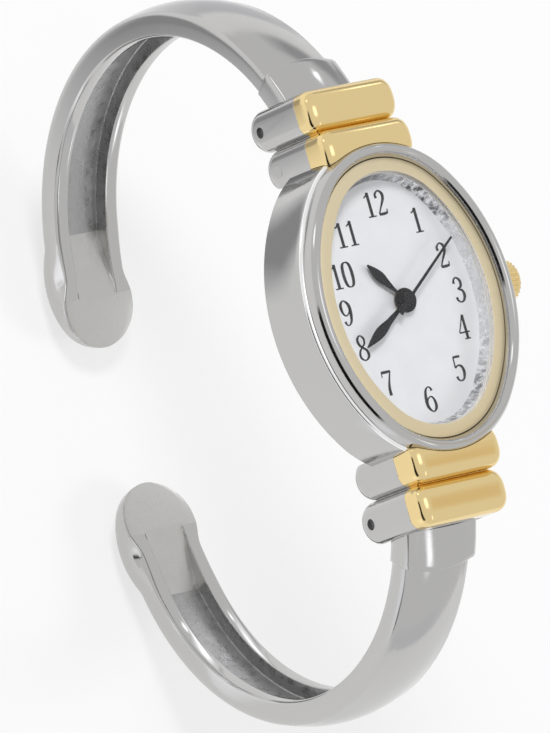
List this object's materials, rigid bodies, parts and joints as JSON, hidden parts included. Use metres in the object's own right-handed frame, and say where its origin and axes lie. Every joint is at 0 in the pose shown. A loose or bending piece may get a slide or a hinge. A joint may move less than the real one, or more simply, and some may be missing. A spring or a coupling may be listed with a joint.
{
  "type": "cuff watch",
  "caption": "Oval two-tone dress watch on two spring-hinged bangle arms with spoon tips, with a plain numbered dial, a crown and a quartz movement.",
  "frame": {"origin": "middle of the caseback's flat outer face", "axes": "+Z out of the dial, +Y towards 12 o'clock, +X towards 3 o'clock and the crown"},
  "size_m": [0.0244, 0.0656, 0.0487],
  "materials": {
    "polished_steel": "polished steel",
    "gold_plate": "polished gold-tone plate",
    "pale_gold": "satin pale gold-tone plate",
    "crystal_glass": "clear",
    "brushed_silver": "brushed",
    "dial_silver": "satin silver-white",
    "hand_black": "gloss black",
    "seal_rubber": "matte",
    "inner_steel": "plain",
    "holder_plastic": "matte",
    "movement_brass": "plain",
    "board_green": "matte",
    "coil_copper": "enamelled wire",
    "magnet_black": "plain"
  },
  "bodies": {
    "head": {"case": "polished_steel", "upper_lug_cap": "gold_plate", "lower_lug_cap": "gold_plate", "bezel_ring": "pale_gold", "crystal": "crystal_glass", "crystal_gasket": "seal_rubber", "rehaut": "brushed_silver", "dial": "dial_silver", "crown_tube": "inner_steel", "caseback": "polished_steel", "caseback_gasket": "seal_rubber", "movement_ring": "holder_plastic", "main_plate": "movement_brass", "train_bridge": "movement_brass", "battery": "inner_steel", "battery_clamp": "inner_steel", "circuit_board": "board_green", "quartz_can": "inner_steel", "coil": "coil_copper", "stator": "inner_steel", "upper_hinge_pin": "inner_steel", "lower_hinge_pin": "inner_steel", "upper_hinge_spring": "inner_steel", "lower_hinge_spring": "inner_steel"},
    "upper_arm": {"upper_arm": "polished_steel"},
    "lower_arm": {"lower_arm": "polished_steel"},
    "seconds": {"second_hand": "hand_black", "seconds_wheel": "movement_brass"},
    "third": {"third_wheel": "movement_brass"},
    "minutes": {"minute_hand": "hand_black", "center_wheel": "movement_brass"},
    "minute_wheel": {"minute_wheel": "movement_brass"},
    "hours": {"hour_hand": "hand_black", "hour_wheel": "movement_brass"},
    "intermediate": {"intermediate_wheel": "movement_brass"},
    "rotor": {"rotor": "magnet_black"},
    "setting_lever": {"setting_lever": "inner_steel"},
    "crown": {"crown": "gold_plate", "crown_stem": "inner_steel", "crown_gasket": "seal_rubber"}
  },
  "joints": [
    {"name": "upper_arm_swing", "type": "hinge", "parent": "head", "child": "upper_arm", "pos_m": [0, 0.01777, -0.0003], "axis": [1, 0, 0], "range_deg": [0, 20], "stiffness_Nm_per_rad": 0.03, "springref_deg": -20.05},
    {"name": "lower_arm_swing", "type": "hinge", "parent": "head", "child": "lower_arm", "pos_m": [0, -0.01777, -0.0003], "axis": [-1, 0, 0], "range_deg": [0, 20], "stiffness_Nm_per_rad": 0.03, "springref_deg": -20.05},
    {"name": "seconds_turn", "type": "hinge", "parent": "head", "child": "seconds", "pos_m": [0, 0, 0.004], "axis": [0, 0, -1], "continuous": true},
    {"name": "third_turn", "type": "hinge", "parent": "head", "child": "third", "pos_m": [-0.0026, 0, 0.004], "axis": [0, 0, -1], "continuous": true},
    {"name": "minutes_turn", "type": "hinge", "parent": "head", "child": "minutes", "pos_m": [0, 0, 0.004], "axis": [0, 0, -1], "continuous": true},
    {"name": "minute_wheel_turn", "type": "hinge", "parent": "head", "child": "minute_wheel", "pos_m": [0.0012, -0.00208, 0.004], "axis": [0, 0, -1], "continuous": true},
    {"name": "hours_turn", "type": "hinge", "parent": "head", "child": "hours", "pos_m": [0, 0, 0.004], "axis": [0, 0, -1], "continuous": true},
    {"name": "intermediate_turn", "type": "hinge", "parent": "head", "child": "intermediate", "pos_m": [0, 0.00266, 0.004], "axis": [0, 0, -1], "continuous": true},
    {"name": "rotor_turn", "type": "hinge", "parent": "head", "child": "rotor", "pos_m": [0, 0.00494, 0.004], "axis": [0, 0, -1], "continuous": true},
    {"name": "crown_pull", "type": "slide", "parent": "head", "child": "setting_lever", "axis": [1, 0, 0], "range_m": [0, 0.0008]},
    {"name": "crown_turn", "type": "hinge", "parent": "setting_lever", "child": "crown", "pos_m": [0.012, 0, 0.00525], "axis": [1, 0, 0], "continuous": true}
  ],
  "couplings": [
    {"joint": "third_turn", "follows": "seconds_turn", "ratio": -0.13333},
    {"joint": "minutes_turn", "follows": "seconds_turn", "ratio": 0.016667},
    {"joint": "minute_wheel_turn", "follows": "seconds_turn", "ratio": -0.0055556},
    {"joint": "hours_turn", "follows": "seconds_turn", "ratio": 0.0013889},
    {"joint": "intermediate_turn", "follows": "seconds_turn", "ratio": -6},
    {"joint": "rotor_turn", "follows": "seconds_turn", "ratio": 30}
  ]
}
